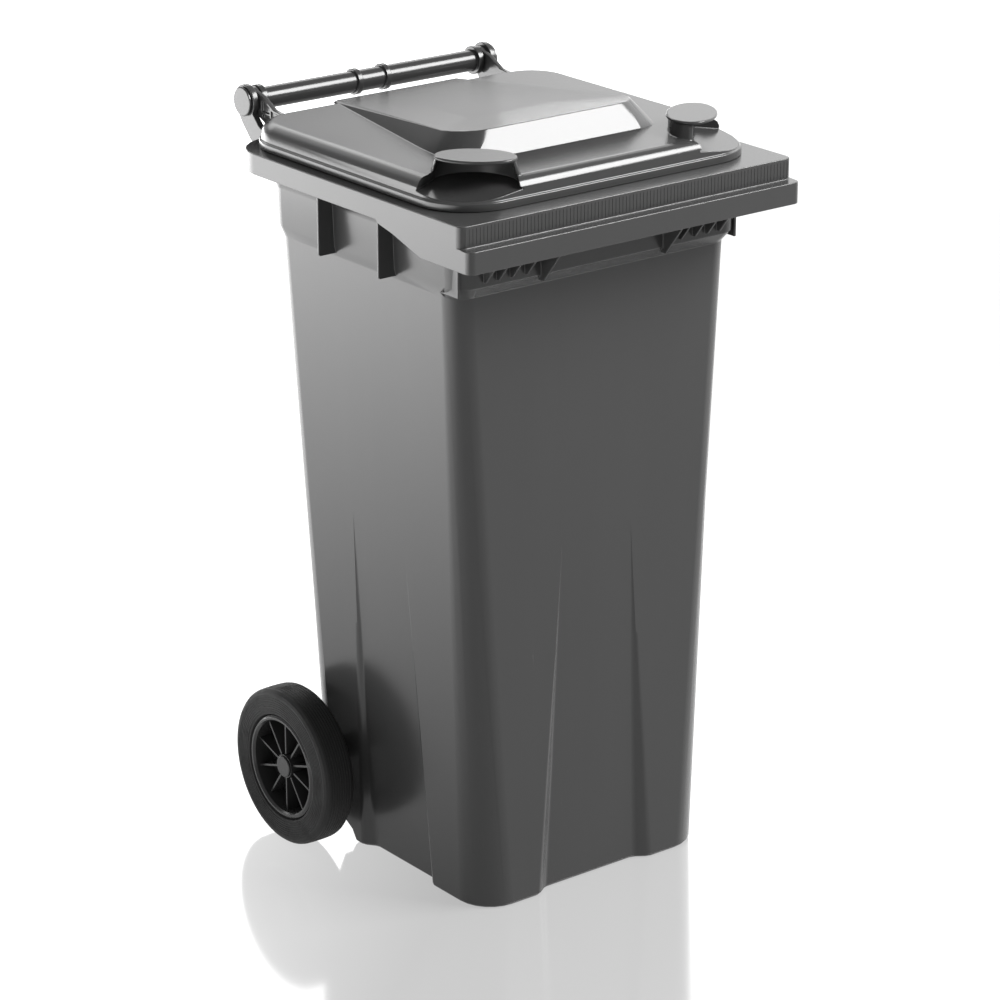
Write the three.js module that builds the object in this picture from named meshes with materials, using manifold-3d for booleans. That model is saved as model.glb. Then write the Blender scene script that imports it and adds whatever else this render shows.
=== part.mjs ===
// A two-wheeled 120 litre wheelie bin, in millimetres, +Z up, front towards -Y.
// The origin is on the floor, under the middle of the bin's box.
import * as THREE from "three";
import { mergeVertices } from "three/addons/utils/BufferGeometryUtils.js";
import Module from "manifold-3d";

const wasm = await Module();
wasm.setup();

// ---- driving dimensions -------------------------------------------------------------------

const WALL = 3.6;                 // moulded wall of the tub and rim
const LID_WALL = 3.2;
const GAP = 0.3;                  // air between pieces that touch

// tub: a tapered box with rounded corners, sizes on the floor and at TUB_TOP
const TUB_TOP = 780;
const TUB_HALF = [171.5, 202.9];
const TUB_FRONT = [-199.7, -190.9];
const TUB_REAR = [139.8, 156.9];
const TUB_CORNER = [46, 42, 26];  // on the floor, at CORNER_MID, at TUB_TOP
const CORNER_MID = 400;
const FOOT_BEVEL = 3;

// panels sunk between the four corner feet, fading out upwards
const PANEL_TOP = 445;
const PANEL_DEPTH = 11.5;
const PANEL_X = { panel: [65, 50], foot: [89, 52] };            // on the floor, at PANEL_TOP
const PANEL_Y_FRONT = { panel: [-86, -72], foot: [-104, -74] };
const PANEL_Y_REAR = { panel: [24, 25], foot: [45, 27] };

// neck under the rim
const NECK_LOW = 757;
const NECK_HIGH = 771;
const NECK_STEP = 12;             // the front wall steps forward
const NECK_SWELL = 3.5;           // sides and rear step out a little

// comb rim: an upper tier and a lower tier that stands further forward
const RIM_TOP = 861.7;
const RIM_HALF = 240;
const RIM_FRONT = -251;
const RIM_REAR = 197.3;
const RIM_BREAK = 836.6;
const LIP_FRONT = -267;
const LIP_LOW = 810.8;
const RIM_CORNER_FRONT = 9;
const RIM_CORNER_REAR = 55;

// fins between the neck and the rim at each side, and the cove above them at the rear
const FINS_Y = [33, -82.5];
const FIN_THICK = 3.2;
const FIN_REACH = 228;
const FIN_LOW = 762;
const COVE_R = 20;
const COVE_FRONT = -98;

// gussets under the front lip, as distances from the middle
const BIG_GUSSET_X = 89;
const SMALL_GUSSETS_X = [112, 133, 152, 170];
const GUSSET_THICK = 3;
const GUSSET_RUN = 0.8;            // forward for each millimetre up

// hinge and handle line
const HINGE_Y = 246.7;
const HINGE_Z = 894.2;
const BOSS_R = 20.3;
const BRACKET_X = [173.2, 180.8];
const ARM_X = [165.4, 171.6];
const PIN_R = 6;
const PIN_HEAD_R = 17.5;
const PIN_HEAD_X = [181.2, 185];
const TUBE_R = 13.2;
const TUBE_BORE_R = 10.2;
const TUBE_HALF = 164.6;
const COLLAR_R = 16;
const COLLAR_X = [17.5, 24.5];

// lid
const LID_LOW = RIM_TOP + GAP;
const LID_HALF = 224;
const LID_FRONT = -222;
const LID_REAR = 196;
const LID_CORNER_FRONT = 66;
const LID_CORNER_REAR = 60;
const LID_TOP = 892;
const DOME_FRONT_Z = 920.5;
const DOME_REAR_Z = 893.6;
const DOME_FRONT = -114;
const DOME_REAR = 187;
const DOME_DISH = 2.5;

// grips: hoods over a scoop in each front corner of the lid
const GRIP_CENTRE = [157, -170];
const GRIP_TOP = 912;
const GRIP_FLOOR = 881.8;         // height of the scoop's floor under the grip's centre
const GRIP_SLOPE = 10;            // degrees the scoop's floor falls towards the corner

// wheels and axle
const AXLE_Y = 112.6;
const AXLE_Z = 98.7;
const AXLE_R = 10;
const AXLE_HALF = 234.2;
const WHEEL_X = [198.9, 242.5];
const TYRE_R = 98.7;
const RIM_SEAT_R = 65.5;
const RIM_RING_R = 61;
const HUB_R = 15.5;
const HUB_X = [192.6, 236];
const SPOKES = 10;
const BUSH_R = 12;
const LUGS_X = [[168.4, 173.4], [100, 104], [34, 38]];

// ---- helpers ------------------------------------------------------------------------------

function lerp(pair, t) {
  return pair[0] + (pair[1] - pair[0]) * t;
}

// Signed volume of an indexed geometry; negative when its faces point inwards.
function signedVolume(positions, index) {
  const [a, b, c] = [new THREE.Vector3(), new THREE.Vector3(), new THREE.Vector3()];
  let sum = 0;
  for (let i = 0; i < index.length; i += 3) {
    a.fromArray(positions, index[i] * 3);
    b.fromArray(positions, index[i + 1] * 3);
    c.fromArray(positions, index[i + 2] * 3);
    sum += a.dot(b.cross(c)) / 6;
  }
  return sum;
}

// Turns a closed three.js geometry into a solid that can be cut and joined.
function solid(geometry) {
  const bare = geometry.clone();
  bare.deleteAttribute("normal");
  bare.deleteAttribute("uv");
  const merged = mergeVertices(bare, 1e-4);
  const all = merged.index.array;
  const kept = [];
  for (let i = 0; i < all.length; i += 3) {
    const [a, b, c] = [all[i], all[i + 1], all[i + 2]];
    if (a !== b && b !== c && c !== a) kept.push(a, b, c);
  }
  const positions = merged.attributes.position.array;
  if (signedVolume(positions, kept) < 0) kept.reverse();
  const mesh = new wasm.Mesh({
    numProp: 3,
    vertProperties: new Float32Array(positions),
    triVerts: new Uint32Array(kept),
  });
  return new wasm.Manifold(mesh);
}

function toGeometry(part) {
  const mesh = part.getMesh();
  const geometry = new THREE.BufferGeometry();
  geometry.setAttribute("position", new THREE.Float32BufferAttribute(mesh.vertProperties, 3));
  geometry.setIndex(new THREE.Uint32BufferAttribute(mesh.triVerts, 1));
  return geometry;
}

function union(parts) {
  return parts.reduce((sum, part) => sum.add(part));
}

function extruded(points, depth) {
  const shape = new THREE.Shape(points.map(([x, y]) => new THREE.Vector2(x, y)));
  return new THREE.ExtrudeGeometry(shape, { depth, bevelEnabled: false });
}

// A plan outline (x, y) raised from z0 to z1.
function raised(points, z0, z1) {
  return solid(extruded(points, z1 - z0).translate(0, 0, z0));
}

// A side outline (y, z) standing between x0 and x1.
function sidePlate(points, x0, x1) {
  const turn = new THREE.Matrix4().makeBasis(
    new THREE.Vector3(0, 1, 0), new THREE.Vector3(0, 0, 1), new THREE.Vector3(1, 0, 0));
  return solid(extruded(points, x1 - x0).applyMatrix4(turn).translate(x0, 0, 0));
}

// A front outline (x, z) standing between y0 and y1.
function frontPlate(points, y0, y1) {
  const turn = new THREE.Matrix4().makeBasis(
    new THREE.Vector3(1, 0, 0), new THREE.Vector3(0, 0, 1), new THREE.Vector3(0, -1, 0));
  return solid(extruded(points, y1 - y0).applyMatrix4(turn).translate(0, y1, 0));
}

function box(x0, x1, y0, y1, z0, z1) {
  const block = new THREE.BoxGeometry(x1 - x0, y1 - y0, z1 - z0);
  return solid(block.translate((x0 + x1) / 2, (y0 + y1) / 2, (z0 + z1) / 2));
}

// A profile of [x along the axis, radius] turned about a line parallel to X.
function turned(profile, segments = 24, y = 0, z = 0) {
  const points = profile.map(([x, r]) => new THREE.Vector2(r, x));
  const lathe = new THREE.LatheGeometry(points, segments);
  return solid(lathe.rotateZ(-Math.PI / 2).translate(0, y, z));
}

// A plain round bar or bore along X.
function bar(x0, x1, radius, y = 0, z = 0) {
  return turned([[x0, 0], [x0, radius], [x1, radius], [x1, 0]], 24, y, z);
}

// A ring of rectangular section along X.
function ring(x0, x1, inner, outer, segments = 24) {
  return turned([[x0, inner], [x0, outer], [x1, outer], [x1, inner], [x0, inner]], segments);
}

function arc(cx, cy, radius, from, to, steps) {
  const points = [];
  for (let i = 0; i <= steps; i += 1) {
    const angle = THREE.MathUtils.degToRad(from + (to - from) * i / steps);
    points.push([cx + radius * Math.cos(angle), cy + radius * Math.sin(angle)]);
  }
  return points;
}

// A rectangle with its own corner radii at the front and the rear, counter-clockwise.
function roundedBox(half, front, rear, frontR, rearR, steps = 6) {
  return [
    ...arc(half - frontR, front + frontR, frontR, -90, 0, steps),
    ...arc(half - rearR, rear - rearR, rearR, 0, 90, steps),
    ...arc(-half + rearR, rear - rearR, rearR, 90, 180, steps),
    ...arc(-half + frontR, front + frontR, frontR, 180, 270, steps),
  ];
}

// A closed skin through rings of [x, y, z] points, all with the same count.
function loft(rings) {
  const count = rings[0].length;
  const flat = rings.flat(2);
  const index = [];
  for (let level = 0; level < rings.length - 1; level += 1) {
    for (let i = 0; i < count; i += 1) {
      const next = (i + 1) % count;
      const low = level * count;
      const high = low + count;
      index.push(low + i, low + next, high + next, low + i, high + next, high + i);
    }
  }
  const lastRing = (rings.length - 1) * count;
  for (const [start, ring, up] of [[0, rings[0], false], [lastRing, rings.at(-1), true]]) {
    const outline = ring.map(([x, y]) => new THREE.Vector2(x, y));
    for (const [a, b, c] of THREE.ShapeUtils.triangulateShape(outline, [])) {
      index.push(start + a, start + (up ? b : c), start + (up ? c : b));
    }
  }
  const geometry = new THREE.BufferGeometry();
  geometry.setAttribute("position", new THREE.Float32BufferAttribute(flat, 3));
  geometry.setIndex(index);
  return solid(geometry);
}

function atHeight(points, z) {
  return points.map(([x, y]) => [x, y, z]);
}

// A copy of a solid, moved by a matrix.
function moved(part, matrix) {
  return solid(toGeometry(part).applyMatrix4(matrix));
}

function mirrored(part) {
  return moved(part, new THREE.Matrix4().makeScale(-1, 1, 1));
}

function bothSides(part) {
  return part.add(mirrored(part));
}

// ---- body ---------------------------------------------------------------------------------

// One side of the tub between its corners: foot, slope, panel, slope, foot.
// Gives [position along the side, depth] pairs from the low end to the high end.
function sunkSide(low, high, depth) {
  const points = [];
  for (const step of [0, 0.3, 0.7, 1]) {
    points.push([low.foot + (low.panel - low.foot) * step, depth * smooth(step)]);
  }
  for (const step of [1, 0.7, 0.3, 0]) {
    points.push([high.foot + (high.panel - high.foot) * step, depth * smooth(step)]);
  }
  return points;
}

function smooth(t) {
  return t * t * (3 - 2 * t);
}

// The tub's plan outline at a height; grow moves it outwards.
function tubRing(z, grow = 0) {
  const t = z / TUB_TOP;
  const fade = Math.min(z / PANEL_TOP, 1);
  const depth = PANEL_DEPTH * (1 - fade);
  const neck = THREE.MathUtils.clamp((z - NECK_LOW) / (NECK_HIGH - NECK_LOW), 0, 1);
  const half = lerp(TUB_HALF, t) + NECK_SWELL * neck + grow;
  const front = lerp(TUB_FRONT, t) - NECK_STEP * neck - grow;
  const rear = lerp(TUB_REAR, t) + NECK_SWELL * neck + grow;
  const lowCorner = lerp([TUB_CORNER[0], TUB_CORNER[1]], Math.min(z / CORNER_MID, 1));
  const highCorner = Math.max(z - CORNER_MID, 0) / (TUB_TOP - CORNER_MID);
  const corner = lowCorner - (TUB_CORNER[1] - TUB_CORNER[2]) * Math.min(highCorner, 1) + grow;
  const at = (edges) => ({ panel: lerp(edges.panel, fade), foot: lerp(edges.foot, fade) });
  const width = at(PANEL_X);
  const minus = { panel: -width.panel, foot: -width.foot };
  const across = sunkSide(minus, width, depth);
  const along = sunkSide(at(PANEL_Y_FRONT), at(PANEL_Y_REAR), depth);
  const ring = [
    ...across.map(([x, d]) => [x, front + d]),
    ...arc(half - corner, front + corner, corner, -90, 0, 6),
    ...along.map(([y, d]) => [half - d, y]),
    ...arc(half - corner, rear - corner, corner, 0, 90, 6),
    ...across.toReversed().map(([x, d]) => [x, rear - d]),
    ...arc(-half + corner, rear - corner, corner, 90, 180, 6),
    ...along.toReversed().map(([y, d]) => [-half + d, y]),
    ...arc(-half + corner, front + corner, corner, 180, 270, 6),
  ];
  return atHeight(ring, z);
}

function tubShell() {
  const sole = tubRing(0, -FOOT_BEVEL);
  const heights = [FOOT_BEVEL, 150, 300, PANEL_TOP, 600, NECK_LOW, NECK_HIGH, RIM_TOP - 1];
  const outer = loft([sole, ...heights.map((z) => tubRing(z))]);
  const inside = [WALL + 1, 150, 300, PANEL_TOP, 600, NECK_LOW, NECK_HIGH, RIM_TOP + 10];
  const cavity = loft(inside.map((z) => tubRing(z, -WALL)));
  const clearance = axleRecess(0);
  const floor = axleRecess(WALL);
  return { outer: outer.subtract(clearance), cavity: cavity.subtract(floor) };
}

// The space cut from the rear of the tub's underside for the axle; grow thickens it.
function axleRecess(grow) {
  const outline = [
    [50 - grow, -5], [62 - grow, 15 + grow], [77 - grow, 24 + grow], [92 - grow, 62],
    [93 - grow, 122 + grow], [100, 128 + grow], [220, 128 + grow], [220, -5],
  ];
  return sidePlate(outline, -260, 260);
}

// Plates that carry the axle across the recess.
function axleLugs() {
  const outline = [
    [84, 44], [95, 60], ...arc(AXLE_Y, AXLE_Z, 20, -110, 20, 8), [129, 122], [130, 131], [90, 131],
  ];
  const plates = LUGS_X.map(([x0, x1]) => sidePlate(outline, x0, x1));
  return bothSides(union(plates));
}

function combRim() {
  const upper = roundedBox(RIM_HALF, RIM_FRONT, RIM_REAR, RIM_CORNER_FRONT, RIM_CORNER_REAR);
  const lower = roundedBox(RIM_HALF, LIP_FRONT, -60, RIM_CORNER_FRONT, 1, 4);
  const apron = [
    [LIP_FRONT - 5, LIP_LOW], [-178, LIP_LOW], [-126, 827], [-98, 833], [-96, RIM_BREAK + 0.2],
    [LIP_FRONT - 5, RIM_BREAK + 0.2],
  ];
  const tiers = raised(upper, RIM_BREAK, RIM_TOP).add(
    raised(lower, LIP_LOW - 5, RIM_BREAK + 0.2)
      .subtract(raised(roundedBox(300, -60.5, 300, 1, 1, 1), 700, 900))
      .intersect(sidePlate(apron, -250, 250)));
  const upperHollow = roundedBox(RIM_HALF - WALL, RIM_FRONT + WALL, RIM_REAR - WALL, 6, 51.4);
  const lowerHollow = roundedBox(RIM_HALF - WALL, LIP_FRONT + WALL, -60, 6, 1, 4);
  return tiers
    .subtract(raised(upperHollow, 790, RIM_TOP - WALL))
    .subtract(raised(lowerHollow, 790, RIM_BREAK - WALL));
}

// Upright fins that brace the rim's sides against the neck.
function sideFins() {
  const outline = [
    [203, FIN_LOW], [FIN_REACH - 2, FIN_LOW], [FIN_REACH, FIN_LOW + 2], [FIN_REACH, RIM_BREAK + 2],
    [RIM_HALF - 2, RIM_BREAK + 2], [RIM_HALF - 2, RIM_TOP - 2], [203, RIM_TOP - 2],
  ];
  const fins = FINS_Y.map((y) => frontPlate(outline, y - FIN_THICK / 2, y + FIN_THICK / 2));
  return bothSides(union(fins));
}

// The hollow curve under the rim round the sides and rear, flush with the rim's lower edge.
function rimCove() {
  const low = RIM_BREAK - COVE_R;
  const rings = [tubRing(low - 4, -2)];
  for (let i = 0; i <= 4; i += 1) {
    const angle = Math.PI / 2 * i / 5;
    rings.push(tubRing(low + COVE_R * Math.sin(angle), COVE_R * (1 - Math.cos(angle))));
  }
  rings.push(tubRing(RIM_BREAK + WALL, COVE_R * 0.8));
  return loft(rings).intersect(box(-300, 300, COVE_FRONT, 300, 700, 900));
}

// Triangular plates between the neck and the front lip.
function lipGussets() {
  const shelf = RIM_BREAK - 2;
  const gusset = (x, low) => sidePlate([
    [-196, low], [-207, low], [-207 - (shelf - low) * GUSSET_RUN, shelf], [RIM_FRONT + 2, shelf],
    [RIM_FRONT + 2, RIM_TOP - 2], [-196, RIM_TOP - 2],
  ], x - GUSSET_THICK / 2, x + GUSSET_THICK / 2);
  const plates = [gusset(BIG_GUSSET_X, 764), ...SMALL_GUSSETS_X.map((x) => gusset(x, 776))];
  const cornerPlate = sidePlate([[-198, 762], [-150, 762], [-150, 860], [-198, 860]], 200.2, 203.4);
  return bothSides(union([...plates, cornerPlate]));
}

function rearGussets() {
  const outline = [[150, 795], [160, 795], [195, 840], [195, RIM_TOP - 2], [150, RIM_TOP - 2]];
  const plates = [55, 115].map((x) => sidePlate(outline, x - 1.5, x + 1.5));
  return bothSides(union(plates));
}

// The horn behind each rear corner that holds the handle and the lid's hinge pin. It grows
// from the rim and goes no lower.
function handleBracket() {
  const low = RIM_BREAK + 1.4;
  const outline = [
    [158, low + 4], [182, low], [212, low], [236, 850], [253, 868],
    ...arc(HINGE_Y, HINGE_Z, BOSS_R, -36, 216, 14),
    [218, 870], [201, 861], [190, 860], [190, 850], [158, 850],
  ];
  return bothSides(sidePlate(outline, ...BRACKET_X));
}

function makeBody() {
  const { outer, cavity } = tubShell();
  const bores = bothSides(bar(170, 190, PIN_R + GAP, HINGE_Y, HINGE_Z));
  return union([
    outer, combRim(), rimCove(), sideFins(), lipGussets(), rearGussets(), handleBracket(), axleLugs(),
  ])
    .subtract(cavity)
    .subtract(bores)
    .subtract(bar(-200, 200, AXLE_R + 2 * GAP, AXLE_Y, AXLE_Z));
}

// ---- lid ----------------------------------------------------------------------------------

// The lid's plan outline, moved in from its flange by inset.
function lidRing(z, inset) {
  const outline = roundedBox(
    LID_HALF - inset, LID_FRONT + inset, LID_REAR - inset,
    LID_CORNER_FRONT - inset, LID_CORNER_REAR - inset, 7);
  return atHeight(outline, z);
}

// Flange, upright skirt and round shoulder; drop lowers it and thins it for the underside.
function lidPan(drop) {
  const flange = drop ? LID_LOW - 5 : LID_LOW;
  const rings = [
    [flange, 0], [870.5 - drop, 0.5], [871.5 - drop, 3], [881 - drop, 4],
    [886.5 - drop, 7], [890 - drop, 12], [LID_TOP - drop, 19],
  ];
  return loft(rings.map(([z, inset]) => lidRing(z, inset + drop)));
}

// The wedge that rises towards the front, with bevelled sides and a slightly dished top.
function dome(drop) {
  const slope = (DOME_FRONT_Z - DOME_REAR_Z) / (DOME_REAR - DOME_FRONT);
  const topZ = (y) => DOME_REAR_Z + (DOME_REAR - y) * slope - drop;
  const plan = (half) => [...half, ...half.toReversed().map(([x, y]) => [-x, y])];
  const shrink = ([x, y]) => [x - Math.sign(x) * drop, y > 0 ? y - drop : y + drop];
  const low = plan([
    [112, -133], [130, -131], [142, -121], [147, -104], [146, -80], [141, -45], [92, 190],
  ]).map(shrink);
  const top = plan([
    [92, DOME_FRONT], [108, -111], [121, -102], [129, -90], [132, -74], [127, -42], [88, DOME_REAR],
  ]).map(shrink);
  const dished = top.map(([x, y]) => [x * 0.45, 20 + (y - 20) * 0.45]);
  return loft([
    low.map(([x, y]) => [x, y, LID_TOP - 5 - 2 * drop]),
    low.map(([x, y]) => [x, y, LID_TOP - 0.5 - drop]),
    top.map(([x, y]) => [x, y, topZ(y)]),
    dished.map(([x, y]) => [x, y, topZ(y) - DOME_DISH]),
  ]);
}

// Grips are shaped about their own origin: x outwards to the lid's corner, y along the plate.
function atGrip(part) {
  const d = Math.SQRT1_2;
  const [x, y] = GRIP_CENTRE;
  const frame = new THREE.Matrix4().makeBasis(
    new THREE.Vector3(d, -d, 0), new THREE.Vector3(d, d, 0), new THREE.Vector3(0, 0, 1));
  return moved(part, frame.setPosition(x, y, 0));
}

// A lens: an ellipse half as long as length, deeper on the lid's side than the corner's.
function lens(z, length, inner, outer) {
  const points = arc(0, 0, 1, 0, 345, 23);
  return atHeight(points.map(([x, y]) => [x > 0 ? outer * x : inner * x, length * y]), z);
}

// The hood's curved wall, with its flat plate on top.
function gripHood() {
  const wall = loft([lens(878, 57, 31, 12), lens(893, 50, 28, 12), lens(909, 45, 28, 12)]);
  const plate = loft([
    lens(908, 46.5, 30.5, 28.5), lens(GRIP_TOP - 1.5, 47, 31, 29), lens(GRIP_TOP, 45.5, 29.5, 27.5),
  ]);
  return wall.add(plate);
}

// The finger scoop under the plate, open towards the corner; grow thickens its walls.
function gripScoop(grow) {
  const mouth = (z, length, inner, flare) => {
    const back = arc(0, 0, 1, 90, 270, 12).map(([x, y]) => [x * (inner + grow), y * (length + grow)]);
    const far = length + flare + grow;
    return atHeight([...back, [110, -far], [110, far]], z);
  };
  const room = loft([
    mouth(850, 50, 25, 62), mouth(880, 49, 25, 50), mouth(893, 46, 24.5, 20),
    mouth(908 + grow, 41.5, 24.5, 5),
  ]);
  const slope = THREE.MathUtils.degToRad(GRIP_SLOPE);
  const floor = new THREE.BoxGeometry(400, 400, 100)
    .translate(0, 0, -50 - grow)
    .rotateY(slope)
    .translate(0, 0, GRIP_FLOOR);
  return room.subtract(solid(floor));
}

// Arms that carry the lid on its hinge pins.
function lidArm() {
  const outline = [
    [180, 866], [206, 866], [236, 880],
    ...arc(HINGE_Y, HINGE_Z, 16.5, -125, 130, 16),
    [222, 903], [200, 891], [180, 889],
  ];
  const [x0, x1] = ARM_X;
  const pocketDepth = x1 - 2;
  const pockets = [
    [[190, 869], [205, 869], [205, 878], [190, 878]],
    [[208, 871], [222, 877], [222, 882], [208, 882]],
    [[190, 881], [205, 881], [205, 889], [198, 887], [190, 887]],
    [[208, 885], [224, 885], [224, 898], [208, 892]],
  ].map((points) => sidePlate(points, pocketDepth, x1 + 5));
  return sidePlate(outline, x0, x1)
    .subtract(union(pockets))
    .subtract(bar(x0 - 5, x1 + 5, PIN_R + 2 * GAP, HINGE_Y, HINGE_Z));
}

function makeLid() {
  const hoods = bothSides(atGrip(gripHood()));
  const scoops = bothSides(atGrip(gripScoop(0)));
  const thickScoops = bothSides(atGrip(gripScoop(LID_WALL)));
  const hollow = lidPan(LID_WALL).add(dome(LID_WALL)).subtract(thickScoops);
  const highHoods = hoods.subtract(box(-300, 300, -300, 300, 800, LID_TOP - 1));
  return lidPan(0).add(dome(0)).subtract(scoops).subtract(hollow)
    .add(highHoods.subtract(scoops))
    .add(bothSides(lidArm()));
}

// ---- handle and hinge pins ----------------------------------------------------------------

function makeHandleTube() {
  const end = TUBE_HALF;
  const [c0, c1] = COLLAR_X;
  const rightHalf = [
    [c0, TUBE_R], [c0, COLLAR_R], [c1, COLLAR_R], [c1, TUBE_R],
    [end - 8, TUBE_R], [end - 8, 17.5], [end, 17.5], [end, TUBE_BORE_R],
  ];
  const leftHalf = rightHalf.toReversed().map(([x, r]) => [-x, r]);
  return turned([...leftHalf, ...rightHalf, leftHalf[0]]);
}

function makeHandlePlug() {
  return ring(136, TUBE_HALF, PIN_R + GAP, TUBE_BORE_R - GAP);
}

function makeHingePin() {
  const [head, face] = PIN_HEAD_X;
  const profile = [
    [138, 0], [138, PIN_R - 1.5], [140, PIN_R], [head, PIN_R], [head, PIN_HEAD_R - 1],
    [head + 1, PIN_HEAD_R], [face - 0.8, PIN_HEAD_R], [face, PIN_HEAD_R - 1.5], [face, 0],
  ];
  return turned(profile);
}

// ---- wheels and axle ----------------------------------------------------------------------

function makeAxle() {
  const groove = [[230.8, AXLE_R], [230.8, 9.2], [232.8, 9.2], [232.8, AXLE_R]];
  const right = [...groove, [AXLE_HALF - 1, AXLE_R], [AXLE_HALF, AXLE_R - 1], [AXLE_HALF, 0]];
  const left = right.toReversed().map(([x, r]) => [-x, r]);
  return turned([...left, ...right]);
}

function makeTyre() {
  const [x0, x1] = WHEEL_X;
  const profile = [
    [x0 + 3, RIM_SEAT_R + GAP], [x0 + 1, 68], [x0, 72], [x0, 91.5], [x0 + 1.5, 95.3],
    [x0 + 5, 97.6], [(x0 + x1) / 2, TYRE_R], [x1 - 5, 97.6], [x1 - 1.5, 95.3],
    [x1, 91.5], [x1, 72], [x1 - 1, 68], [x1 - 3, RIM_SEAT_R + GAP], [x0 + 3, RIM_SEAT_R + GAP],
  ];
  return turned(profile, 48);
}

// The wheel's plastic centre: seat for the tyre, ring, web, spokes and hub.
function makeWheelRim() {
  const [x0, x1] = WHEEL_X;
  const seat = turned([
    [x0 + 3, RIM_RING_R - 3], [x0 + 3, RIM_SEAT_R], [x1 - 3, RIM_SEAT_R], [x1 - 1, RIM_RING_R + 1],
    [x1 - 1, RIM_RING_R - 1], [x1 - 4, RIM_RING_R - 3], [x0 + 3, RIM_RING_R - 3],
  ], 48);
  const web = ring(x0 + 12, x0 + 15, HUB_R - 1, RIM_RING_R - 2, 48);
  const hub = ring(...HUB_X, BUSH_R + GAP, HUB_R);
  const spokes = [];
  for (let i = 0; i < SPOKES; i += 1) {
    const spoke = box(x0 + 13, x1 - 8, -1.4, 1.4, HUB_R - 0.6, RIM_RING_R - 2);
    const turn = 2 * Math.PI * i / SPOKES;
    spokes.push(moved(spoke, new THREE.Matrix4().makeRotationX(turn)));
  }
  return union([seat, web, hub, ...spokes]);
}

function makeWheelBush() {
  return ring(HUB_X[0], 230.5, AXLE_R + 2 * GAP, BUSH_R);
}

function makeRetainingRing() {
  return ring(231.1, 232.5, 9.5, 11.8);
}

function makeHubCap() {
  const profile = [
    [234.7, 0], [234.7, 11.8], [236.3, 11.8], [236.3, 13.5], [237.6, 13.5], [238.4, 12.5], [238.4, 0],
  ];
  return turned(profile);
}

function makeThrustWasher() {
  return ring(190.4, 192.3, AXLE_R + 2 * GAP, 16);
}

function makeSpacerSleeve() {
  return ring(LUGS_X[0][1] + GAP, 190.1, AXLE_R + 2 * GAP, 14);
}

// ---- scene graph --------------------------------------------------------------------------

const finishes = {
  body: { color: 0x5c5d5e, roughness: 0.42, metalness: 0 },
  lid: { color: 0x565758, roughness: 0.4, metalness: 0 },
  black: { color: 0x232425, roughness: 0.4, metalness: 0 },
  rubber: { color: 0x1d1d1e, roughness: 0.75, metalness: 0 },
  nylon: { color: 0xb9b7ae, roughness: 0.5, metalness: 0 },
  steel: { color: 0x9a9da0, roughness: 0.35, metalness: 1 },
};

const bin = new THREE.Group();
const hingeLine = new THREE.Group();
hingeLine.position.set(0, HINGE_Y, HINGE_Z);
const axleLine = new THREE.Group();
axleLine.position.set(0, AXLE_Y, AXLE_Z);
bin.add(hingeLine, axleLine);

function place(group, name, part, finish) {
  const geometry = toGeometry(part);
  geometry.computeVertexNormals();
  const node = new THREE.Mesh(geometry, new THREE.MeshStandardMaterial(finishes[finish]));
  node.name = name;
  group.add(node);
}

function placePair(group, name, part, finish) {
  place(group, `${name}_right`, part, finish);
  place(group, `${name}_left`, mirrored(part), finish);
}

place(bin, "body", makeBody(), "body");
place(bin, "lid", makeLid(), "lid");
place(hingeLine, "handle_tube", makeHandleTube(), "black");
placePair(hingeLine, "handle_plug", makeHandlePlug(), "black");
placePair(hingeLine, "hinge_pin", makeHingePin(), "body");
place(axleLine, "axle", makeAxle(), "steel");
placePair(axleLine, "tyre", makeTyre(), "rubber");
placePair(axleLine, "wheel_rim", makeWheelRim(), "black");
placePair(axleLine, "wheel_bush", makeWheelBush(), "nylon");
placePair(axleLine, "retaining_ring", makeRetainingRing(), "steel");
placePair(axleLine, "hub_cap", makeHubCap(), "black");
placePair(axleLine, "thrust_washer", makeThrustWasher(), "steel");
placePair(axleLine, "spacer_sleeve", makeSpacerSleeve(), "nylon");

export default bin;
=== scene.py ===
# %% [markdown]
# # A wheelie bin, from a fixed frame
#
# The bin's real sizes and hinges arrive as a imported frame, which this lesson never moves.
# Here each part gets its rounded edges, its fine details and its finish.

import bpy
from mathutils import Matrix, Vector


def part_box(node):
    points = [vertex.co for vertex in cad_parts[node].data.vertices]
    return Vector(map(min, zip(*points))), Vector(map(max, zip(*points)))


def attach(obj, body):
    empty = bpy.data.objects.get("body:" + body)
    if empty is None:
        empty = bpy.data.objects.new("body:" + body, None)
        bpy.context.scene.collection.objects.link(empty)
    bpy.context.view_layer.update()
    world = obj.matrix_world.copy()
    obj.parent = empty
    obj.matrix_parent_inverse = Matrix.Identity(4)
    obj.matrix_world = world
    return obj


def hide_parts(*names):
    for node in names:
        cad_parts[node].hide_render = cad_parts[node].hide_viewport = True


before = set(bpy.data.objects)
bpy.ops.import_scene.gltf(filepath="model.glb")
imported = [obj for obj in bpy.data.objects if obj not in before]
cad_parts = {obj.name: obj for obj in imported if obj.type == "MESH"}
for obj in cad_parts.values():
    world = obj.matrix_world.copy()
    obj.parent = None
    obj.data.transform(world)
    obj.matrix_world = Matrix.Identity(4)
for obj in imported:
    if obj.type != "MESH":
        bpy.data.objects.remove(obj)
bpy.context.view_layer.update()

# %% [markdown]
# ## Small tools
#
# A moulded part never has a knife edge. Each solid is copied, its loose triangles are merged,
# flat areas are joined up again, and a narrow bevel rounds every edge. Where small faces meet,
# a bevel can throw a corner off the part, so such corners are put back. The result is baked to
# a plain mesh, so nothing is left live when the part starts to move.

# %% Imports and helpers for meshes
import math

import bmesh
import bpy
from mathutils import Vector
from mathutils.bvhtree import BVHTree

MM = 0.001
STRAY = 0.75       # how far a rounded corner may stand off the old surface, in bevel widths
WELD = 2e-6        # metres; corners closer than this are one corner
FLAT = 0.6         # faces that turn by fewer degrees than this are one flat face


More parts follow.
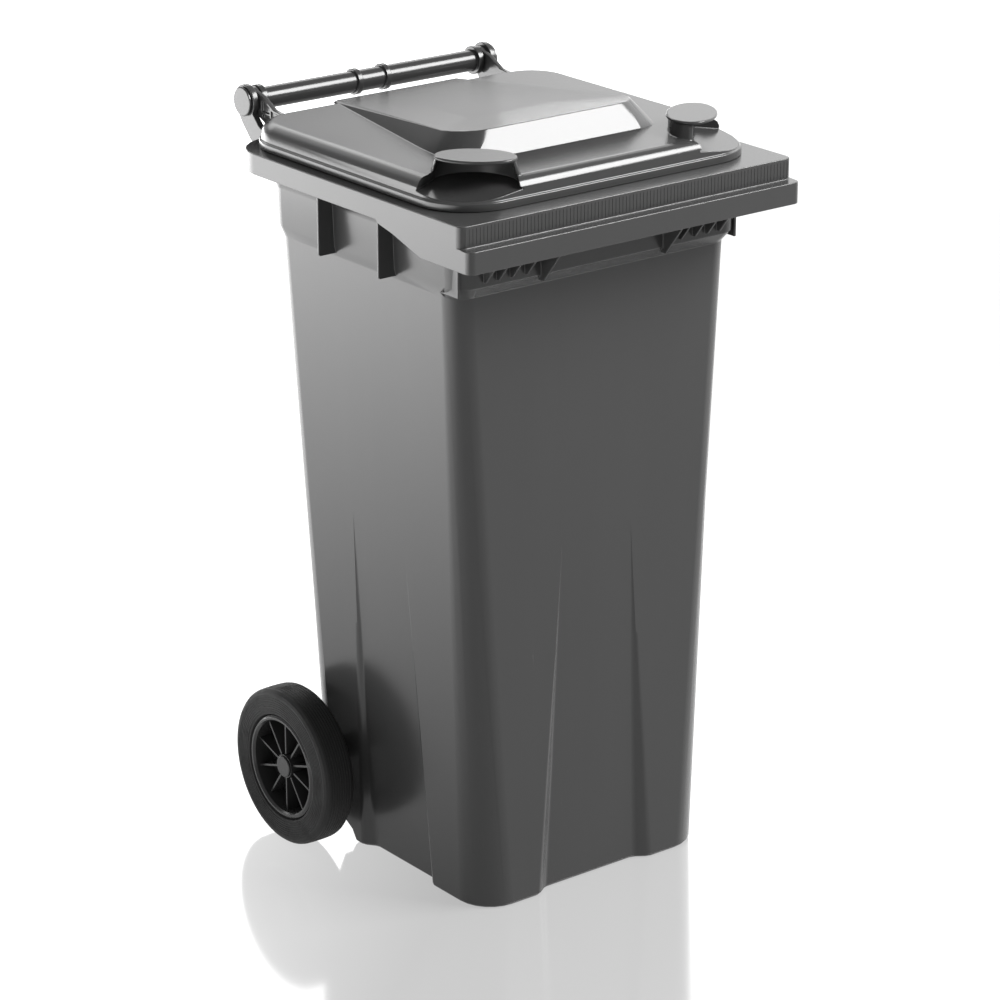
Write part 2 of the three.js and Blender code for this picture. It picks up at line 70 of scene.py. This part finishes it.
def link(name, mesh):
    piece = bpy.data.objects.new(name, mesh)
    bpy.context.scene.collection.objects.link(piece)
    return piece


def bake_modifiers(piece):
    """Turns a piece and its modifiers into one plain mesh."""
    graph = bpy.context.evaluated_depsgraph_get()
    mesh = bpy.data.meshes.new_from_object(piece.evaluated_get(graph), depsgraph=graph)
    piece.modifiers.clear()
    piece.data = mesh
    return piece


def bring_back(piece, before, reach):
    """Puts any corner that a bevel threw off the old surface back on it."""
    for corner in piece.data.vertices:
        near = before.find_nearest(corner.co)[0]
        if (corner.co - near).length > reach:
            corner.co = near


def round_edges(piece, width, segments=2, limit=30, sharp=40):
    """Rounds the edges that turn by more than limit degrees, and smooths what is left."""
    if width:
        old = piece.data
        before = BVHTree.FromPolygons(
            [v.co for v in old.vertices], [f.vertices for f in old.polygons])
        bevel = piece.modifiers.new("edges", "BEVEL")
        bevel.width = width
        bevel.segments = segments
        bevel.limit_method = "ANGLE"
        bevel.angle_limit = math.radians(limit)
        bevel.use_clamp_overlap = False
        bevel.miter_outer = "MITER_ARC"
        bake_modifiers(piece)
        bring_back(piece, before, width * STRAY)
    piece.data.shade_smooth()
    piece.data.set_sharp_from_angle(angle=math.radians(sharp))
    even = piece.modifiers.new("even", "WEIGHTED_NORMAL")
    even.keep_sharp = True
    even.weight = 100
    return bake_modifiers(piece)


def copy_of(node, name, width, segments=2, limit=30, sharp=40):
    """A cleaned copy of a solid from the frame, with rounded edges."""
    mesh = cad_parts[node].data.copy()
    mesh.materials.clear()
    cleaner = bmesh.new()
    cleaner.from_mesh(mesh)
    bmesh.ops.remove_doubles(cleaner, verts=cleaner.verts, dist=WELD)
    bmesh.ops.dissolve_degenerate(cleaner, edges=cleaner.edges, dist=WELD)
    bmesh.ops.dissolve_limit(
        cleaner, angle_limit=math.radians(FLAT), verts=cleaner.verts, edges=cleaner.edges)
    cleaner.to_mesh(mesh)
    cleaner.free()
    return round_edges(link(name, mesh), width, segments, limit, sharp)


def turned(name, profile, centre, segments=128):
    """A closed profile of (x, radius) pairs turned round a line parallel to X."""
    y, z = centre
    shape = bmesh.new()
    rings = []
    for k in range(segments):
        angle = 2 * math.pi * k / segments
        across, up = math.sin(angle), math.cos(angle)
        rings.append([shape.verts.new((x, y + r * across, z + r * up)) for x, r in profile])
    count = len(profile)
    for k, ring in enumerate(rings):
        following = rings[(k + 1) % segments]
        for i in range(count):
            j = (i + 1) % count
            shape.faces.new((ring[i], ring[j], following[j], following[i]))
    bmesh.ops.recalc_face_normals(shape, faces=shape.faces)
    mesh = bpy.data.meshes.new(name)
    shape.to_mesh(mesh)
    shape.free()
    return link(name, mesh)


def centre_of(node):
    """The middle of a solid's box."""
    low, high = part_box(node)
    return [(a + b) / 2 for a, b in zip(low, high)]


def join(name, pieces):
    """Puts several pieces into one mesh."""
    whole = bmesh.new()
    for piece in pieces:
        whole.from_mesh(piece.data)
        bpy.data.objects.remove(piece)
    mesh = bpy.data.meshes.new(name)
    whole.to_mesh(mesh)
    whole.free()
    return link(name, mesh)


def settle(piece, body, slot, material, *nodes):
    """Gives a finished piece its material, its body and the solids it stands for."""
    piece.data.materials.clear()
    piece.data.materials.append(material)
    if nodes:
        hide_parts(*nodes)
    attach(piece, body)
    print(piece.name, len(piece.data.polygons), "faces on", body)
    return piece


# %% [markdown]
# ## Finishes as sums
#
# A finish is a picture made of numbers: noise plus scratches, times a mask. Wiring those nodes
# by hand is slow to read, so one small class lets Python's own + and * add the nodes.

# %% Shader maths
class Amount:
    """A number that varies over a surface, held as a node's socket."""

    def __init__(self, finish, socket):
        self.finish = finish
        self.socket = socket

    def maths(self, operation, *values):
        node = self.finish.node("ShaderNodeMath", {"operation": operation}, *values)
        return Amount(self.finish, node.outputs[0])

    def __add__(self, other):
        return self.maths("ADD", self, other)

    def __sub__(self, other):
        return self.maths("SUBTRACT", self, other)

    def __rsub__(self, other):
        return self.maths("SUBTRACT", other, self)

    def __mul__(self, other):
        return self.maths("MULTIPLY", self, other)

    __radd__ = __add__
    __rmul__ = __mul__

    def between(self, low, high):
        """0 below low and 1 above high, with a soft step."""
        node = self.finish.node(
            "ShaderNodeMapRange", {"interpolation_type": "SMOOTHSTEP"}, self, low, high, 0.0, 1.0)
        return Amount(self.finish, node.outputs[0])


class Finish:
    """A material under construction."""

    def __init__(self, name, owner=None, coordinate="Object"):
        self.material = owner or bpy.data.materials.new(name)
        self.material.use_nodes = True
        self.tree = self.material.node_tree
        self.tree.nodes.clear()
        self.place = self.node("ShaderNodeTexCoord").outputs[coordinate]

    def node(self, kind, settings=None, *values, **named):
        """Adds a node, sets it up, then fills its sockets by order or by name."""
        node = self.tree.nodes.new(kind)
        for key, value in (settings or {}).items():
            setattr(node, key, value)
        for key, value in [*enumerate(values), *named.items()]:
            socket = node.inputs[key.replace("_", " ") if isinstance(key, str) else key]
            value = getattr(value, "socket", value)
            if isinstance(value, bpy.types.NodeSocket):
                self.tree.links.new(value, socket)
            elif value is not None:
                socket.default_value = value
        return node

    def noise(self, scale, stretch=(1, 1, 1), detail=3.0, roughness=0.5):
        """Cloudy noise, with scale in lumps per metre along each axis."""
        size = tuple(scale * s for s in stretch)
        mapping = self.node("ShaderNodeMapping", None, Vector=self.place, Scale=size)
        cloud = self.node("ShaderNodeTexNoise", None, Vector=mapping.outputs[0],
                          Scale=1.0, Detail=detail, Roughness=roughness)
        return Amount(self, cloud.outputs[0])

    def axis(self, letter):
        """How far along X, Y or Z a point or a direction lies."""
        split = self.node("ShaderNodeSeparateXYZ", None, self.place)
        return Amount(self, split.outputs[letter])

    def height(self):
        """How high a point is above the floor, in metres."""
        return self.axis("Z")

    def mix(self, factor, first, second):
        """Blends two colours."""
        node = self.node("ShaderNodeMix", {"data_type": "RGBA"})
        for key, value in ((0, factor), (6, first), (7, second)):
            value = getattr(value, "socket", value)
            if isinstance(value, bpy.types.NodeSocket):
                self.tree.links.new(value, node.inputs[key])
            else:
                node.inputs[key].default_value = value
        return node.outputs[2]

    def surface(self, colour, roughness, relief=None, depth=0.0, **constants):
        """Ends the material: colour, roughness, relief and the constant sockets."""
        normal = None
        if relief is not None:
            bump = self.node("ShaderNodeBump", None, Distance=depth, Height=relief, Strength=1.0)
            normal = bump.outputs[0]
        shader = self.node("ShaderNodeBsdfPrincipled", None, Base_Color=colour,
                           Roughness=roughness, Normal=normal, **constants)
        self.node("ShaderNodeOutputMaterial", None, Surface=shader.outputs[0])
        return self.material


def grey(value, warmth=0.0):
    return (value * (1 + warmth), value, value * (1 - warmth), 1.0)


# %% [markdown]
# ## Moulded polyethylene
#
# The tub and lid are one grey plastic. It is slightly waxy, with a fine grain from the mould,
# faint upright flow marks, and rubbed patches near the feet where it meets the kerb.

# %% The plastics
KERB_WEAR = (0.02, 0.16)    # metres above the floor over which the rubbed patches fade


def moulded_plastic(name, shade, gloss, grain_depth, rubbed=0.0):
    finish = Finish(name)
    clouds = finish.noise(7, (1, 1, 0.5), detail=4)
    flow = finish.noise(30, (1, 1, 0.08), detail=2)
    grain = finish.noise(1500, detail=2, roughness=0.6)
    scratches = finish.noise(120, (1, 1, 0.05), detail=5, roughness=0.75).between(0.68, 0.8)
    low = 1 - finish.height().between(*KERB_WEAR)
    wear = scratches * 0.25 + scratches * low * rubbed
    tone = clouds * 0.55 + flow * 0.45
    plain = finish.mix(tone, grey(shade * 0.93), grey(shade * 1.07))
    colour = finish.mix(wear, plain, grey(shade * 1.9, 0.01))
    roughness = gloss - 0.04 + clouds * 0.08 + wear * 0.25 + grain * 0.05
    return finish.surface(colour, roughness, grain + scratches * 0.4, grain_depth, IOR=1.47)


bin_plastic = moulded_plastic("bin_plastic", 0.043, 0.2, 0.000012, rubbed=0.6)
lid_plastic = moulded_plastic("lid_plastic", 0.038, 0.17, 0.000012)
black_plastic = moulded_plastic("black_plastic", 0.03, 0.18, 0.00001)
bush_plastic = moulded_plastic("bush_plastic", 0.45, 0.4, 0.00002)
print("plastics:", bin_plastic.name, lid_plastic.name, black_plastic.name, bush_plastic.name)

# %% [markdown]
# ## Rubber and steel
#
# Solid tyres are matt and a little dusty where they roll. The axle is zinc plated, so it has
# a soft spangle instead of a clean mirror.

# %% Rubber and steel
def tyre_rubber():
    finish = Finish("tyre_rubber")
    dust = finish.noise(45, detail=5, roughness=0.65).between(0.45, 0.75)
    grain = finish.noise(1800, detail=2)
    low = 1 - finish.height().between(0.0, 0.03)
    worn = dust * 0.35 + low * 0.3
    colour = finish.mix(worn, grey(0.013), grey(0.03, 0.03))
    return finish.surface(colour, 0.58 + dust * 0.2 + grain * 0.06, grain, 0.00006, IOR=1.42)


def zinc_steel():
    finish = Finish("zinc_steel")
    spangle = finish.noise(160, detail=2)
    brushed = finish.noise(900, (0.05, 1, 1), detail=2)
    colour = finish.mix(spangle, grey(0.4), grey(0.55, 0.01))
    roughness = 0.22 + spangle * 0.15 + brushed * 0.1
    return finish.surface(colour, roughness, brushed, 0.00001, Metallic=1.0)


rubber = tyre_rubber()
steel = zinc_steel()
print("rubber and steel ready")

# %% [markdown]
# ## Tub and lid
#
# Both are single mouldings whose exact shape the frame already holds, so the copies only need
# their edges rounded: about a millimetre, which is what catches the light along a rim.

# %% Tub and lid
tub = copy_of("body", "tub_moulding", 1.0 * MM)
settle(tub, "bin", "bin_plastic", bin_plastic, "body")
lid = copy_of("lid", "lid_moulding", 0.9 * MM)
settle(lid, "lid", "lid_plastic", lid_plastic, "lid")

# %% [markdown]
# ## Handle
#
# The grab handle is a turned tube with two collars. It is built afresh with many more sides,
# because a long straight highlight shows every facet.

# %% Handle tube, pins and plugs
hinge = centre_of("hinge_pin_left")[1:]
handle_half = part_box("handle_tube")[1][0]
TUBE_R = 13.2 * MM
BORE_R = 10.2 * MM
COLLAR_R = 16 * MM
COLLAR = (17.5 * MM, 24.5 * MM)    # where a collar starts and ends along the tube
FLANGE_R = 17.5 * MM
FLANGE_THICK = 8 * MM


def handle_profile():
    start, end = COLLAR
    flange = handle_half - FLANGE_THICK
    right = [
        (start, TUBE_R), (start, COLLAR_R), (end, COLLAR_R), (end, TUBE_R),
        (flange, TUBE_R), (flange, FLANGE_R), (handle_half, FLANGE_R), (handle_half, BORE_R),
    ]
    return [(-x, r) for x, r in reversed(right)] + right


handle = turned("grab_handle", handle_profile(), hinge, 64)
round_edges(handle, 0.8 * MM, segments=3)
settle(handle, "bin", "black_plastic", black_plastic, "handle_tube")
for side in ("left", "right"):
    pin = copy_of(f"hinge_pin_{side}", f"pin_{side}", 0.3 * MM)
    settle(pin, "bin", "black_plastic", black_plastic, f"hinge_pin_{side}")
    plug = copy_of(f"handle_plug_{side}", f"plug_{side}", 0.3 * MM)
    settle(plug, "bin", "black_plastic", black_plastic, f"handle_plug_{side}")

# %% [markdown]
# ## Details that repeat
#
# The ribs on the rim, the rings on the tyres and the spokes in the wheels each repeat by a
# rule. Geometry Nodes make them: the count, the sizes and the spacing are inputs.

# %% Geometry Nodes helpers
class Recipe:
    """A Geometry Nodes tree under construction."""

    def __init__(self, name, **inputs):
        self.tree = bpy.data.node_groups.new(name, "GeometryNodeTree")
        self.tree.interface.new_socket(
            "Geometry", in_out="OUTPUT", socket_type="NodeSocketGeometry")
        self.defaults = inputs
        for key, value in inputs.items():
            kind = "NodeSocketInt" if isinstance(value, int) else "NodeSocketFloat"
            self.tree.interface.new_socket(key, in_out="INPUT", socket_type=kind)
        self.source = self.node("NodeGroupInput")

    def node(self, kind, settings=None, **named):
        node = self.tree.nodes.new(kind)
        for key, value in (settings or {}).items():
            setattr(node, key, value)
        for key, value in named.items():
            key = key.replace("_", " ")
            if isinstance(value, bpy.types.NodeSocket):
                self.tree.links.new(value, node.inputs[key])
            else:
                node.inputs[key].default_value = value
        return node

    def maths(self, operation, first, second):
        node = self.tree.nodes.new("ShaderNodeMath")
        node.operation = operation
        for socket, value in zip(node.inputs, (first, second)):
            if isinstance(value, bpy.types.NodeSocket):
                self.tree.links.new(value, socket)
            else:
                socket.default_value = value
        return node.outputs[0]

    def xyz(self, **axes):
        return self.node("ShaderNodeCombineXYZ", None, **axes).outputs[0]

    def make(self, name, shape, material):
        """Ends the tree, runs it, and returns the result as a plain mesh."""
        solid = self.node("GeometryNodeRealizeInstances", None, Geometry=shape)
        painted = self.node("GeometryNodeSetMaterial", None, Geometry=solid.outputs[0],
                            Material=material)
        end = self.tree.nodes.new("NodeGroupOutput")
        self.tree.links.new(painted.outputs[0], end.inputs[0])
        piece = link(name, bpy.data.meshes.new(name))
        modifier = piece.modifiers.new("recipe", "NODES")
        modifier.node_group = self.tree
        for item in self.tree.interface.items_tree:
            if item.in_out == "INPUT":
                modifier[item.identifier] = self.defaults[item.name]
        return bake_modifiers(piece)


# %% [markdown]
# ## Ribs along the rim
#
# A row of fine upright ribs runs across the rim's upper tier, so the front catches the light
# in thin lines.

# %% Ribs along the rim
RIM_FACE = -251 * MM    # the upper tier's front face
RIB_Z = 849 * MM        # half way up the tier


def rim_ribs():
    """Fine upright ribs in a row on the upper tier's front face."""
    recipe = Recipe("rim_ribs", Ribs=94, Pitch=5 * MM, Width=1.1 * MM, Proud=0.35 * MM,
                    Height=19 * MM)
    sizes = recipe.source.outputs
    depth = recipe.maths("MULTIPLY", sizes["Proud"], 2.0)
    bar = recipe.node("GeometryNodeMeshCube", None,
                      Size=recipe.xyz(X=sizes["Width"], Y=depth, Z=sizes["Height"]))
    gaps = recipe.maths("SUBTRACT", sizes["Ribs"], 1)
    start = recipe.maths("MULTIPLY", recipe.maths("MULTIPLY", gaps, sizes["Pitch"]), -0.5)
    row = recipe.node("GeometryNodeMeshLine", None, Count=sizes["Ribs"],
                      Start_Location=recipe.xyz(X=start), Offset=recipe.xyz(X=sizes["Pitch"]))
    bars = recipe.node("GeometryNodeInstanceOnPoints", None, Points=row.outputs[0],
                       Instance=bar.outputs[0])
    placed = recipe.node("GeometryNodeTransform", None, Geometry=bars.outputs[0],
                         Translation=(0, RIM_FACE, RIB_Z))
    return recipe.make("rim_ribs", placed.outputs[0], bin_plastic)


settle(round_edges(rim_ribs(), 0.15 * MM), "bin", "bin_plastic", bin_plastic)

# %% [markdown]
# ## Wheels
#
# A solid tyre has flat sidewalls with fine raised rings and a tread cut by narrow grooves.
# Its plastic centre has a seat, a web, a hub and thin spokes.

# %% Tyres, wheel centres, rings and spokes
axle_y, axle_z = centre_of("axle")[1:]
tyre_in, tyre_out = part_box("tyre_right")[0][0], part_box("tyre_right")[1][0]
TYRE_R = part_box("tyre_right")[1][2] - axle_z
SEAT_R = 65.5 * MM
RING_R = 61 * MM
HUB_R = 15.5 * MM
HUB_BORE_R = 12.3 * MM
HUB_SET_BACK = 6.5 * MM      # how far the hub's face lies behind the tyre's
WEB = (12 * MM, 15 * MM)     # the web's two faces, from the tyre's inner side
SHOULDER = 5 * MM            # from the tyre's side to the edge of its tread
TREAD_RIBS = 9
CROWN = 1.1 * MM             # how much the tread would fall by the tyre's sides
GROOVE_DEPTH = 0.7 * MM
GROOVE_HALF = (0.8 * MM, 0.4 * MM)    # half a groove's width at its top and its foot


def tyre_profile():
    """Flat sidewalls, a chamfered shoulder and a nearly flat tread with fine grooves."""
    half = (tyre_out - tyre_in) / 2
    middle = (tyre_out + tyre_in) / 2
    side = [(half - 4 * MM, SEAT_R + 0.3 * MM), (half - 1.2 * MM, SEAT_R + 1.6 * MM),
            (half - 0.5 * MM, 71 * MM), (half - 0.5 * MM, 91.5 * MM), (half - 1.9 * MM, 95 * MM),
            (half - SHOULDER, 97.5 * MM)]
    tread = []
    pitch = 2 * (half - SHOULDER) / TREAD_RIBS
    top, foot = GROOVE_HALF
    for k in range(1, TREAD_RIBS):
        x = half - SHOULDER - k * pitch
        crown = TYRE_R - 0.1 * MM - CROWN * (x / half) ** 2
        low = crown - GROOVE_DEPTH
        tread += [(x + top, crown), (x + foot, low), (x - foot, low), (x - top, crown)]
    return ([(middle + x, r) for x, r in side] + [(middle + x, r) for x, r in tread]
            + [(middle - x, r) for x, r in reversed(side)])


def centre_profile():
    """The seat that holds the tyre, with its raised ring on the outer face."""
    return [(tyre_in + 3 * MM, RING_R - 3 * MM), (tyre_in + 3 * MM, SEAT_R - 0.2 * MM),
            (tyre_out - 3 * MM, SEAT_R - 0.2 * MM), (tyre_out - 1 * MM, RING_R + 1.4 * MM),
            (tyre_out - 1 * MM, RING_R - 1 * MM), (tyre_out - 4 * MM, RING_R - 3 * MM)]


def web_profile():
    """The thin disc behind the spokes."""
    back, front = (tyre_in + x for x in WEB)
    low, high = HUB_R - MM, RING_R - 2 * MM
    return [(back, low), (back, high), (front, high), (front, low)]


def hub_profile(inner):
    outer = tyre_out - HUB_SET_BACK
    return [(inner, HUB_BORE_R), (inner, HUB_R), (outer, HUB_R - 0.6 * MM), (outer, HUB_BORE_R)]


def mirrored(profile, side):
    return profile if side == "right" else [(-x, r) for x, r in reversed(profile)]


def sidewall_rings(side):
    """Fine raised rings on the tyre's outer face."""
    recipe = Recipe("sidewall_rings", Rings=7, First=70.5 * MM, Step=2.9 * MM, Thickness=0.45 * MM)
    sizes = recipe.source.outputs
    line = recipe.node("GeometryNodeMeshLine", None, Count=sizes["Rings"], Offset=(0, 0, 0))
    circle = recipe.node("GeometryNodeCurvePrimitiveCircle", None, Resolution=120, Radius=1.0)
    index = recipe.node("GeometryNodeInputIndex").outputs[0]
    radius = recipe.maths("ADD", recipe.maths("MULTIPLY", index, sizes["Step"]), sizes["First"])
    rings = recipe.node("GeometryNodeInstanceOnPoints", None, Points=line.outputs[0],
                        Instance=circle.outputs[0], Scale=recipe.xyz(X=radius, Y=radius, Z=radius))
    loops = recipe.node("GeometryNodeRealizeInstances", None, Geometry=rings.outputs[0])
    section = recipe.node("GeometryNodeCurvePrimitiveCircle", None, Resolution=6,
                          Radius=sizes["Thickness"])
    ridges = recipe.node("GeometryNodeCurveToMesh", None, Curve=loops.outputs[0],
                         Profile_Curve=section.outputs[0])
    face = (tyre_out - 0.55 * MM) * (1 if side == "right" else -1)
    placed = recipe.node("GeometryNodeTransform", None, Geometry=ridges.outputs[0],
                         Translation=(face, axle_y, axle_z), Rotation=(0, math.pi / 2, 0))
    return recipe.make(f"sidewall_rings_{side}", placed.outputs[0], rubber)


def wheel_spokes(side):
    """Thin webs from the hub to the ring."""
    recipe = Recipe("wheel_spokes", Spokes=10, Hub=HUB_R, Ring=RING_R, Thickness=2.6 * MM,
                    Depth=22 * MM)
    sizes = recipe.source.outputs
    length = recipe.maths("SUBTRACT", sizes["Ring"], sizes["Hub"])
    middle = recipe.maths("MULTIPLY", recipe.maths("ADD", sizes["Ring"], sizes["Hub"]), 0.5)
    size = recipe.xyz(X=sizes["Depth"], Y=sizes["Thickness"], Z=length)
    bar = recipe.node("GeometryNodeMeshCube", None, Size=size)
    arm = recipe.node("GeometryNodeTransform", None, Geometry=bar.outputs[0],
                      Translation=recipe.xyz(Z=middle))
    spots = recipe.node("GeometryNodeMeshLine", None, Count=sizes["Spokes"], Offset=(0, 0, 0))
    index = recipe.node("GeometryNodeInputIndex").outputs[0]
    turn = recipe.maths("MULTIPLY", index, recipe.maths("DIVIDE", 2 * math.pi, sizes["Spokes"]))
    arms = recipe.node("GeometryNodeInstanceOnPoints", None, Points=spots.outputs[0],
                       Instance=arm.outputs[0], Rotation=recipe.xyz(X=turn))
    middle_x = (tyre_out - 20 * MM) * (1 if side == "right" else -1)
    placed = recipe.node("GeometryNodeTransform", None, Geometry=arms.outputs[0],
                         Translation=(middle_x, axle_y, axle_z))
    return recipe.make(f"wheel_spokes_{side}", placed.outputs[0], black_plastic)


def wheel_centre(side):
    """Seat, web, hub and spokes as one mesh."""
    inner = min(abs(corner[0]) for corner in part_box(f"wheel_rim_{side}"))
    outlines = (("seat", centre_profile(), 128), ("web", web_profile(), 128),
                ("hub", hub_profile(inner), 64))
    parts = [turned(name, mirrored(outline, side), (axle_y, axle_z), count)
             for name, outline, count in outlines]
    return join(f"wheel_centre_{side}", [*parts, wheel_spokes(side)])


for side in ("left", "right"):
    body = f"wheel_{side}"
    tyre = turned(f"tyre_rubber_{side}", mirrored(tyre_profile(), side), (axle_y, axle_z))
    round_edges(tyre, 0.12 * MM, limit=12, sharp=60)
    settle(tyre, body, "tyre", rubber, f"tyre_{side}")
    rings = round_edges(sidewall_rings(side), 0)
    settle(rings, body, "tyre", rubber)
    centre = round_edges(wheel_centre(side), 0.4 * MM)
    settle(centre, body, "black_plastic", black_plastic, f"wheel_rim_{side}")
    cap = copy_of(f"hub_cap_{side}", f"cap_{side}", 0.4 * MM)
    settle(cap, body, "black_plastic", black_plastic, f"hub_cap_{side}")
    bush = copy_of(f"wheel_bush_{side}", f"bush_{side}", 0.2 * MM)
    settle(bush, body, "bush_plastic", bush_plastic, f"wheel_bush_{side}")

# %% [markdown]
# ## Axle parts
#
# A plated bar runs right across, with sleeves and washers that keep the wheels off the tub and
# a spring ring at each end.

# %% Axle, sleeves, washers and rings
axle = copy_of("axle", "axle_bar", 0.2 * MM)
settle(axle, "bin", "steel", steel, "axle")
for side in ("left", "right"):
    for node, slot, material in (("spacer_sleeve", "bush_plastic", bush_plastic),
                                 ("thrust_washer", "steel", steel),
                                 ("retaining_ring", "steel", steel)):
        part = copy_of(f"{node}_{side}", f"{node}_fine_{side}", 0.2 * MM)
        settle(part, "bin", slot, material, f"{node}_{side}")

# %% [markdown]
# ## Floor, light and camera
#
# A glowing white floor, one large soft lamp and a pale backdrop show a dark, semi-gloss plastic
# best: their reflections draw the shape. The floor has a little polish, so the bin stands on
# its own faint reflection.

# %% The floor
# Painted light: the floor's own glow, which rises behind the bin.
FLOOR_GLOW = 0.46            # close to the bin
GLOW_ALONG = (-0.62, 0.78)   # the floor brightens this way
GLOW_RISE = (0.75, 0.4)      # how fast, by the distance and by its square
GLOW_REACH = 3.2             # metres, after which it brightens no more
FLOOR_SIZE = 60


def white_floor():
    """A polished white floor with painted light: its own glow is brighter behind the bin."""
    finish = Finish("floor")
    away = finish.axis("X") * GLOW_ALONG[0] + finish.axis("Y") * GLOW_ALONG[1]
    ahead = away.maths("MAXIMUM", away, 0.0)
    reach = ahead.maths("MINIMUM", ahead, GLOW_REACH)
    # Painted light: the floor glows by its own emission, brighter behind the bin, and this glow
    # also fills in the bin's shadow on it.
    glow = FLOOR_GLOW + reach * GLOW_RISE[0] + reach * reach * GLOW_RISE[1]
    colour = finish.node("ShaderNodeCombineColor", None, glow, glow, glow)
    return finish.surface(grey(0.12), 0.1, IOR=1.9, Emission_Color=colour.outputs[0],
                          Emission_Strength=1.0)


bpy.ops.mesh.primitive_plane_add(size=FLOOR_SIZE)
floor = bpy.context.object
floor.name = "floor"
floor.data.materials.append(white_floor())

# %% Light
KEY_PLACE = (1.73, -1.73, 2.75)
KEY_AIM = (0, 0, 0.9)
KEY_SIZE = (1.6, 1.5)
KEY_RADIANCE = 22
ROOM = 0.4         # the room's own glow, all round
LOW_GLOW = (0.35, 0.85)    # the backdrop near the floor: at its left, and more to the right
HIGH_GLOW = 2.9    # the backdrop's bright band, higher up


def softbox(name, place, aim, size, radiance):
    """A flat lamp of even brightness: its power follows from its size."""
    data = bpy.data.lights.new(name, "AREA")
    data.shape = "RECTANGLE"
    data.size, data.size_y = size
    data.energy = radiance * math.pi * size[0] * size[1]
    lamp = bpy.data.objects.new(name, data)
    bpy.context.scene.collection.objects.link(lamp)
    lamp.location = place
    lamp.rotation_euler = (Vector(aim) - Vector(place)).to_track_quat("-Z", "Y").to_euler()
    lamp.visible_camera = False
    return lamp


softbox("key_box", KEY_PLACE, KEY_AIM, KEY_SIZE, KEY_RADIANCE)


def studio_light():
    """A backdrop behind that brightens upwards and to the right, and a dim room elsewhere."""
    world = bpy.data.worlds.new("studio")
    finish = Finish("studio", world, "Generated")
    height = finish.axis("Z")
    behind = (finish.axis("X") * 0.75 + finish.axis("Y") * 0.6).between(0.1, 0.6)
    right = (finish.axis("X") * 0.79 - finish.axis("Y") * 0.61).between(-0.06, 0.04)
    raised = height.between(0.3, 0.4) * (1 - height.between(0.55, 0.68))
    low = (LOW_GLOW[0] + right * LOW_GLOW[1]) * (1 - height.between(0.3, 0.4))
    strength = ROOM + behind * (low + raised * HIGH_GLOW)
    light = finish.node("ShaderNodeBackground", None, Color=grey(1.0), Strength=strength)
    finish.node("ShaderNodeOutputWorld", None, Surface=light.outputs[0])
    return world


bpy.context.scene.world = studio_light()
bpy.context.scene.view_settings.view_transform = "Standard"

# %% The camera
TURN = math.radians(37.93)
TILT = math.radians(20.21)
CAMERA_PLACE = (-2.5463, -3.2796, 1.9522)
LENS = 132.45
SENSOR = 36
camera_data = bpy.data.cameras.new("camera")
camera_data.lens = LENS
camera_data.sensor_width = SENSOR
camera = bpy.data.objects.new("camera", camera_data)
bpy.context.scene.collection.objects.link(camera)
camera.location = CAMERA_PLACE
looking = Vector((math.sin(TURN) * math.cos(TILT), math.cos(TURN) * math.cos(TILT),
                  -math.sin(TILT)))
camera.rotation_euler = looking.to_track_quat("-Z", "Y").to_euler()
bpy.context.scene.camera = camera
